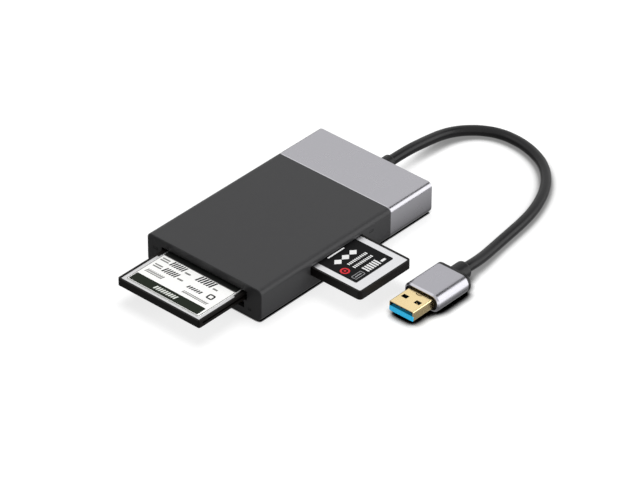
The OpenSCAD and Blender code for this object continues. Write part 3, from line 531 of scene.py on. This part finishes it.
class CARDREADER_OT_stage(bpy.types.Operator):
    """Set up the pale floor, the lamps, the white surroundings and the camera"""

    bl_idname = "cardreader.stage"
    bl_label = "Stage"

    def execute(self, context):
        self.make_floor()
        self.make_surroundings(context.scene)
        self.make_lamps(context.scene.reader_sizes.lamp_level)
        self.make_camera(context.scene)
        context.scene.view_settings.view_transform = "Standard"
        return {"FINISHED"}

    def make_floor(self):
        """Flat pale sheet just under the reader."""
        bm = bmesh.new()
        bmesh.ops.create_grid(bm, x_segments=1, y_segments=1, size=FLOOR_HALF)
        bmesh.ops.translate(bm, vec=(0, 0, -FLOOR_SINK), verts=bm.verts)
        mesh = bpy.data.meshes.new("floor")
        bm.to_mesh(mesh)
        bm.free()
        floor = bpy.data.objects.new("floor", mesh)
        bpy.context.scene.collection.objects.link(floor)
        mesh.materials.append(self.floor_finish())

    def floor_finish(self):
        """White with a soft contact shadow where the camera sees it, and a painted reflection level of
        shadow and glow for reflections.
        """
        material = bpy.data.materials.new("floor_paper")
        material.use_nodes = True
        material.node_tree.nodes.clear()
        place = position(material)
        side = side_of("front_shell", 0, 1)
        contact = add_node(material, "ShaderNodeAmbientOcclusion", samples=16)
        outside = remap(material, place["X"], (side + 3 * MM, side + 6 * MM), (0, 1))
        behind = remap(material, place["Y"], (HOUSING_BACK * MM, (HOUSING_BACK + 3) * MM), (0, 1))
        reach = remap(material, combine(material, "MAXIMUM", outside, behind), (0, 1), CONTACT_REACH)
        link(material, reach, contact.inputs["Distance"])
        shadow = remap(material, contact.outputs["AO"], CONTACT_RANGE, (1, 0), "SMOOTHSTEP")
        plug_end = side_of("plug_core", 1, 1)
        along = remap(material, place["Y"], (plug_end - 3 * MM, plug_end + 3 * MM), (0, 1))
        cable_share = combine(material, "MAXIMUM", combine(material, "MULTIPLY", outside, along), behind)
        shade = remap(material, cable_share, (0, 1), (1, CABLE_SHADE))
        shadow = combine(material, "MULTIPLY", shadow, shade)
        white = add_node(material, "ShaderNodeBsdfDiffuse", Color=(*[FLOOR_LIT] * 3, 1))
        lift = add_node(material, "ShaderNodeEmission", Strength=FLOOR_LIFT)
        plain = add_node(material, "ShaderNodeAddShader")
        seen = add_node(material, "ShaderNodeMixShader")
        bounced = add_node(material, "ShaderNodeBsdfDiffuse", Color=(*[FLOOR_BOUNCE] * 3, 1))
        mirrored = add_node(material, "ShaderNodeEmission")
        link(material, white.outputs[0], plain.inputs[0])
        link(material, lift.outputs[0], plain.inputs[1])
        link(material, shadow, seen.inputs[0])
        link(material, plain.outputs[0], seen.inputs[1])
        # Painted reflection: in reflections the floor glows at a level set by its distance from the
        # housing's right side
        first, last = PAINTED_FLOOR_REFLECTION[0][0], PAINTED_FLOOR_REFLECTION[-1][0]
        beside = remap(material, place["X"], (side + first * MM, side + last * MM), (0, 1))
        most = max(level for _, level in PAINTED_FLOOR_REFLECTION)
        stops = [((at - first) / (last - first), [level / most] * 3) for at, level in PAINTED_FLOOR_REFLECTION]
        level = combine(material, "MULTIPLY", add_ramp(material, beside, stops), most)
        link(material, level, mirrored.inputs["Strength"])
        self.by_ray(material, bounced, mirrored, seen, "ShaderNodeOutputMaterial")
        return material

    def make_surroundings(self, scene):
        """White surroundings, with two bright panels and a dark gap that only reflections show."""
        world = bpy.data.worlds.new("studio")
        scene.world = world
        world.use_nodes = True
        world.node_tree.nodes.clear()
        white = add_node(world, "ShaderNodeBackground", Color=(1, 1, 1, 1), Strength=1.0)
        mirrored = add_node(world, "ShaderNodeBackground", Color=(1, 1, 1, 1))
        glow = add_node(world, "ShaderNodeBackground", Color=(1, 1, 1, 1), Strength=GLOW)
        place = add_node(world, "ShaderNodeTexCoord")
        level = 1.0
        for azimuth, elevation, outer, inner, gain in PATCHES:
            a, e = math.radians(azimuth), math.radians(elevation)
            dot = add_node(world, "ShaderNodeVectorMath", operation="DOT_PRODUCT")
            link(world, place.outputs["Generated"], dot.inputs[0])
            dot.inputs[1].default_value = (math.cos(e) * math.cos(a), math.cos(e) * math.sin(a), math.sin(e))
            edges = (math.cos(math.radians(outer)), math.cos(math.radians(inner)))
            patch = remap(world, dot.outputs["Value"], edges, (0, gain), "SMOOTHSTEP")
            level = combine(world, "ADD", patch, level)
        link(world, level, mirrored.inputs["Strength"])
        self.by_ray(world, glow, mirrored, white, "ShaderNodeOutputWorld")

    def by_ray(self, owner, thrown, mirrored, seen, output):
        """Chooses by the kind of ray: light thrown back, a reflection, or the camera and glass."""
        path = add_node(owner, "ShaderNodeLightPath")
        inner = add_node(owner, "ShaderNodeMixShader")
        outer = add_node(owner, "ShaderNodeMixShader")
        link(owner, path.outputs["Is Glossy Ray"], inner.inputs[0])
        link(owner, thrown.outputs[0], inner.inputs[1])
        link(owner, mirrored.outputs[0], inner.inputs[2])
        eye = combine(owner, "MAXIMUM", path.outputs["Is Camera Ray"], path.outputs["Is Transmission Ray"])
        link(owner, eye, outer.inputs[0])
        link(owner, inner.outputs[0], outer.inputs[1])
        link(owner, seen.outputs[0], outer.inputs[2])
        link(owner, outer.outputs[0], add_node(owner, output).inputs["Surface"])

    def make_lamps(self, level):
        """Area lamps that face the reader and don't show in reflections."""
        for name, place, size, power in LAMPS:
            data = bpy.data.lights.new(name, "AREA")
            data.shape = "RECTANGLE"
            data.size, data.size_y = size
            data.energy = power * level
            lamp = bpy.data.objects.new(name, data)
            lamp.location = place
            lamp.rotation_euler = (-Vector(place)).to_track_quat("-Z", "Y").to_euler()
            lamp.visible_glossy = False
            bpy.context.scene.collection.objects.link(lamp)

    def make_camera(self, scene):
        """Camera at the place that the photograph was taken from."""
        data = bpy.data.cameras.new("photo_camera")
        data.sensor_width = SENSOR_WIDTH
        data.lens = FOCAL_PIXELS / IMAGE_WIDTH * SENSOR_WIDTH
        data.clip_start, data.clip_end = CLIP_START, CLIP_END
        camera = bpy.data.objects.new("photo_camera", data)
        flat = math.cos(CAMERA_ELEVATION)
        back = Vector((math.sin(CAMERA_AZIMUTH) * flat, -math.cos(CAMERA_AZIMUTH) * flat,
                       math.sin(CAMERA_ELEVATION)))
        right = Vector((math.cos(CAMERA_AZIMUTH), math.sin(CAMERA_AZIMUTH), 0))
        up = back.cross(right)
        turn = Matrix((right, up, back)).transposed().to_4x4()
        roll = Matrix.Rotation(CAMERA_ROLL, 4, "Z")
        camera.matrix_world = Matrix.Translation(CAMERA_TARGET + back * CAMERA_DISTANCE) @ turn @ roll
        scene.collection.objects.link(camera)
        scene.camera = camera


class CARDREADER_OT_housing(bpy.types.Operator):
    """Finish the black shell and the metal cap, and print the small card signs beside the slots"""

    bl_idname = "cardreader.housing"
    bl_label = "Housing"

    def execute(self, context):
        finishes, sizes = context.scene.reader_finishes, context.scene.reader_sizes
        coat("front_shell", moulded_finish("shell_matte", finishes.shell, roughness=0.4, specular=0.25,
                                           edge=sizes.edge_round))
        coat("rear_cap", anodised_finish("cap_anodised", finishes.cap, edge=sizes.edge_round))
        ink = printed_finish("sign_ink", [c * 0.2 for c in finishes.shell], roughness=0.6, specular=0.1)
        front = (0, side_of("front_shell", 1, 0), 0)
        right = (side_of("front_shell", 0, 1), 0, 0)
        for name, signs, wall, across in (("front_signs", FRONT_SIGNS, front, (1, 0, 0)),
                                          ("side_sign", SIDE_SIGNS, right, (0, 1, 0))):
            bm = bmesh.new()
            for sign in signs:
                self.draw_sign(bm, *sign)
            lay_print(name, bm, wall, across, (0, 0, 1), sizes.print_height, ink)
        return {"FINISHED"}

    def draw_sign(self, bm, centre, size, contact):
        """Outline of a card with a row of contacts along its lower end."""
        x, z = centre
        w, h = size
        add_outline(bm, (x - w / 2, z - h / 2), (x + w / 2, z + h / 2), SIGN_STROKE, SIGN_CORNER)
        foot = z - h / 2 + CONTACT_RISE
        for i in range(SIGN_CONTACTS):
            at = x + (i - (SIGN_CONTACTS - 1) / 2) * w / (SIGN_CONTACTS + 1)
            add_bar(bm, (at - CONTACT_WIDTH / 2, foot), (at + CONTACT_WIDTH / 2, foot + contact))


class CARDREADER_OT_inside(bpy.types.Operator):
    """Finish the board, what is mounted on it, the card sockets and the two ports"""

    bl_idname = "cardreader.inside"
    bl_label = "Board and sockets"

    def execute(self, context):
        finishes = context.scene.reader_finishes
        plastic = moulded_finish("socket_plastic", srgb("141415"), specular=0.25, depth=0.003 * MM)
        sheet = metal_finish("socket_steel", srgb("b9b9bd"), 0.32)
        gilt = metal_finish("contact_gilt", srgb("e9c469"), 0.24, grain=6000)
        resin = moulded_finish("chip_resin", srgb("1d1d1f"), roughness=0.55, grain=4200, tone=0.12)
        groups = {
            plastic: ["joining_frame", "wide_guide_left", "wide_guide_right", "wide_header",
                      "side_socket_base", "camera_socket_base", "phone_socket_base"],
            sheet: ["board_screws", "side_socket_cover", "camera_socket_cover", "phone_socket_cover",
                    "front_port_shell", "rear_port_shell", "crystals", "braid_ferrule"],
            gilt: ["wide_pins", "side_socket_contacts", "camera_socket_contacts", "phone_socket_contacts",
                   "front_port_contacts", "rear_port_contacts"],
            resin: ["hub_chip", "reader_chip", "bridge_chip", "voltage_regulator", "power_inductor"],
            moulded_finish("port_blue", finishes.insert, roughness=0.4, tone=0.04): [
                "front_port_tongue", "rear_port_tongue"],
            board_finish("board_mask", finishes.board): ["main_board"],
            moulded_finish("capacitor_ceramic", srgb("8c6a45"), grain=5000): ["capacitors"],
            wire_finish("wire_jackets"): ["cable_wires"],
        }
        for material, nodes in groups.items():
            for node in nodes:
                coat(node, material)
        return {"FINISHED"}


class CARDREADER_OT_cable(bpy.types.Operator):
    """Lay the cable along its route and dress the mouldings at its ends"""

    bl_idname = "cardreader.cable"
    bl_label = "Cable"

    def execute(self, context):
        finishes, sizes = context.scene.reader_finishes, context.scene.reader_sizes
        rubber = rubber_finish("cable_jacket", finishes.rubber)
        moulding = moulded_finish("cable_moulding", [c * 0.8 for c in finishes.rubber], roughness=0.4)
        points = [Vector((x, y + HOUSING_BACK, z)) * MM for x, y, z in ROUTE]
        curve = bpy.data.curves.new("cable_run", "CURVE")
        curve.dimensions = "3D"
        curve.bevel_depth = sizes.cable_diameter / 2
        curve.bevel_resolution = CABLE_ROUNDNESS
        curve.resolution_u = CABLE_ROUNDNESS
        curve.use_fill_caps = True
        spline = curve.splines.new("BEZIER")
        spline.bezier_points.add(len(points) - 1)
        for knot, point in zip(spline.bezier_points, points):
            knot.co = point
            knot.handle_left_type = knot.handle_right_type = "AUTO"
        curve.materials.append(rubber)
        cable = bpy.data.objects.new("cable_run", curve)
        context.scene.collection.objects.link(cable)
        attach(cable, BODY)
        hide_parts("cable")
        coat("cable_boot", moulding)
        coat("cable_stub", rubber)
        coat("plug_core", moulding)
        return {"FINISHED"}


class CARDREADER_OT_plug(bpy.types.Operator):
    """Finish the plug's sleeve, gilt tip, blue insert and contacts"""

    bl_idname = "cardreader.plug"
    bl_label = "Plug"

    def execute(self, context):
        finishes, sizes = context.scene.reader_finishes, context.scene.reader_sizes
        coat("plug_sleeve", anodised_finish("sleeve_anodised", finishes.sleeve, edge=sizes.edge_round))
        gilt = metal_finish("tip_gilt", finishes.gilt, 0.26, depth=0.00002 * MM)
        # Painted shade: the inner faces of the tip go dark
        paint_inside_shade(gilt, "plug_tip", TIP_SKIN, TIP_INSIDE_SHADE)
        coat("plug_tip", gilt)
        coat("plug_insert", self.insert_finish(finishes.insert))
        coat("plug_contacts", metal_finish("plug_contact_gilt", finishes.gilt, 0.2, grain=6000))
        return {"FINISHED"}

    def insert_finish(self, colour):
        """Blue with painted light: a painted glow, bright at the plug's front, and a painted shade that
        darkens it further inside the tip.
        """
        material, shader = plain_finish("insert_blue", colour, 0.4, specular=0.3)
        front = side_of("plug_insert", 1, 0)
        depth = remap(material, position(material)["Y"], (front, front + INSERT_SHADE_REACH), (0, 1))
        deep_shade = [c * 0.3 for c in colour]
        stops = [(0.01, colour), (0.04, deep_shade), (0.5, deep_shade), (0.75, [c * 0.01 for c in colour])]
        painted_inward_shade = add_ramp(material, depth, stops)
        link(material, painted_inward_shade, shader.inputs["Base Color"])
        # Painted glow: the insert glows in the same colours, though it is no lamp
        link(material, painted_inward_shade, shader.inputs["Emission Color"])
        shader.inputs["Emission Strength"].default_value = INSERT_GLOW
        add_bump(material, shader, noise(material, 2600), 0.003 * MM)
        return material


class CARDREADER_OT_wide_card(bpy.types.Operator):
    """Finish the wide card and print plain shapes on its label"""

    bl_idname = "cardreader.wide_card"
    bl_label = "Wide card"

    def execute(self, context):
        finishes, sizes = context.scene.reader_finishes, context.scene.reader_sizes
        coat("wide_card_frame", moulded_finish("wide_card_body", finishes.card_body, roughness=0.45,
                                               specular=0.15, edge=sizes.edge_round))
        coat("wide_card_connector", moulded_finish("card_connector", srgb("101011")))
        steel = metal_finish("wide_card_steel", srgb("dcdcdd"), 0.3, edge=sizes.edge_round / 2)
        coat("wide_card_top_cover", steel)
        coat("wide_card_bottom_cover", steel)
        coat("wide_card_label", printed_finish("label_paper", finishes.paper, roughness=0.5))
        low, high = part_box("wide_card_label")
        half, length = high.x / MM, (high.y - low.y) / MM
        height = sizes.print_height
        dark, grey, light, band = (bmesh.new() for _ in range(4))
        add_bar(band, *BAND)
        for ink, stripes in ((dark, DARK_STRIPES), (grey, GREY_STRIPES), (light, BAND_STRIPES)):
            for stripe in stripes:
                add_hatch(ink, *stripe, lean=SLANT)
        add_outline(dark, *DARK_SQUARE)
        # Painted shade of the slot across the label's inner end, laid in the dark print's ink
        add_bar(dark, (SHADE_STRIP_MARGIN - half, length - SHADE_STRIP_LENGTH),
                (half - SHADE_STRIP_MARGIN, length - SHADE_STRIP_MARGIN))
        for bar in GREY_BARS:
            add_bar(grey, *bar)
        add_outline(grey, (EDGE_MARGIN - half, EDGE_MARGIN),
                    (half - EDGE_MARGIN, length - SHADE_STRIP_LENGTH - SHADE_STRIP_GAP), EDGE_STROKE, EDGE_CORNER)
        for name, shapes, level, ink in (
                ("wide_card_band", band, 0, printed_finish("band_ink", finishes.band, 0.4, specular=0.05)),
                ("wide_card_print_and_shade", dark, 0, printed_finish("label_ink_and_shade", finishes.ink, specular=0.1)),
                ("wide_card_fine_print", grey, 0, printed_finish("label_grey", srgb("777775"))),
                ("wide_card_band_print", light, height, printed_finish("band_light", srgb("d9dcd6")))):
            origin = (0, low.y, high.z + level)
            lay_print(name, shapes, origin, (1, 0, 0), (0, 1, 0), height, ink)
        return {"FINISHED"}


class CARDREADER_OT_side_card(bpy.types.Operator):
    """Finish the side card and print plain shapes on its label"""

    bl_idname = "cardreader.side_card"
    bl_label = "Side card"

    def execute(self, context):
        finishes, sizes = context.scene.reader_finishes, context.scene.reader_sizes
        coat("side_card_frame", moulded_finish("side_card_body", finishes.card_body, roughness=0.42,
                                               specular=0.15, edge=sizes.edge_round))
        silver = metal_finish("side_card_silver", srgb("e9e9eb"), 0.34, edge=sizes.edge_round / 2)
        coat("side_card_top_cover", silver)
        coat("side_card_bottom_cover", silver)
        coat("side_card_label", printed_finish("label_film", finishes.film, roughness=0.4, specular=0.05))
        low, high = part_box("side_card_label")
        white, grey, mark = (bmesh.new() for _ in range(3))
        for bar in WHITE_BARS:
            add_bar(white, *bar)
        for centre in LOZENGES:
            self.add_lozenge(white, centre, LOZENGE_HALF)
        for stripe in WHITE_STRIPES:
            add_hatch(white, *stripe)
        add_outline(grey, *FINE_BOX)
        add_bar(grey, *FINE_BAR)
        add_ring(mark, MARK_CENTRE, MARK_RADIUS, MARK_STROKE)
        add_ring(mark, MARK_CENTRE, MARK_DOT, MARK_DOT)
        for name, shapes, ink in (
                ("side_card_print", white, printed_finish("film_white", srgb("e2e2e2"))),
                ("side_card_fine_print", grey, printed_finish("film_grey", srgb("8d8d8f"))),
                ("side_card_mark", mark, printed_finish("mark_red", finishes.mark))):
            lay_print(name, shapes, (high.x, low.y, high.z), (0, 1, 0), (-1, 0, 0), sizes.print_height, ink)
        return {"FINISHED"}

    def add_lozenge(self, bm, centre, half):
        """Flat lozenge with its corners on the two axes."""
        made = bmesh.ops.create_circle(bm, cap_ends=True, segments=4, radius=1.0)["verts"]
        bmesh.ops.scale(bm, vec=(*half, 1), verts=made)
        bmesh.ops.translate(bm, vec=(*centre, 0), verts=made)


STEPS = [CARDREADER_OT_stage, CARDREADER_OT_cable, CARDREADER_OT_housing, CARDREADER_OT_inside,
         CARDREADER_OT_plug, CARDREADER_OT_wide_card, CARDREADER_OT_side_card]


class CARDREADER_PT_panel(bpy.types.Panel):
    """Lists the reader's groups with the sizes and colours that they use"""

    bl_idname = "CARDREADER_PT_panel"
    bl_label = "Card Reader"
    bl_space_type = "VIEW_3D"
    bl_region_type = "UI"
    bl_category = "Card Reader"

    def draw(self, context):
        for step in STEPS:
            self.layout.operator(step.bl_idname)
        for group in (context.scene.reader_finishes, context.scene.reader_sizes):
            column = self.layout.column()
            for name in group.__annotations__:
                column.prop(group, name)


CLASSES = [ReaderFinishes, ReaderSizes, *STEPS, CARDREADER_PT_panel]


def register():
    """Registers the add-on's classes and its two groups of properties."""
    for kind in CLASSES:
        bpy.utils.register_class(kind)
    bpy.types.Scene.reader_finishes = bpy.props.PointerProperty(type=ReaderFinishes)
    bpy.types.Scene.reader_sizes = bpy.props.PointerProperty(type=ReaderSizes)


def unregister():
    """Takes back what register has done."""
    del bpy.types.Scene.reader_sizes
    del bpy.types.Scene.reader_finishes
    for kind in reversed(CLASSES):
        bpy.utils.unregister_class(kind)


def main():
    """Builds the reader's looks."""
    register()
    bpy.ops.cardreader.stage()
    bpy.ops.cardreader.cable()
    bpy.ops.cardreader.housing()
    bpy.ops.cardreader.inside()
    bpy.ops.cardreader.plug()
    bpy.ops.cardreader.wide_card()
    bpy.ops.cardreader.side_card()


if __name__ == "__main__":
    main()
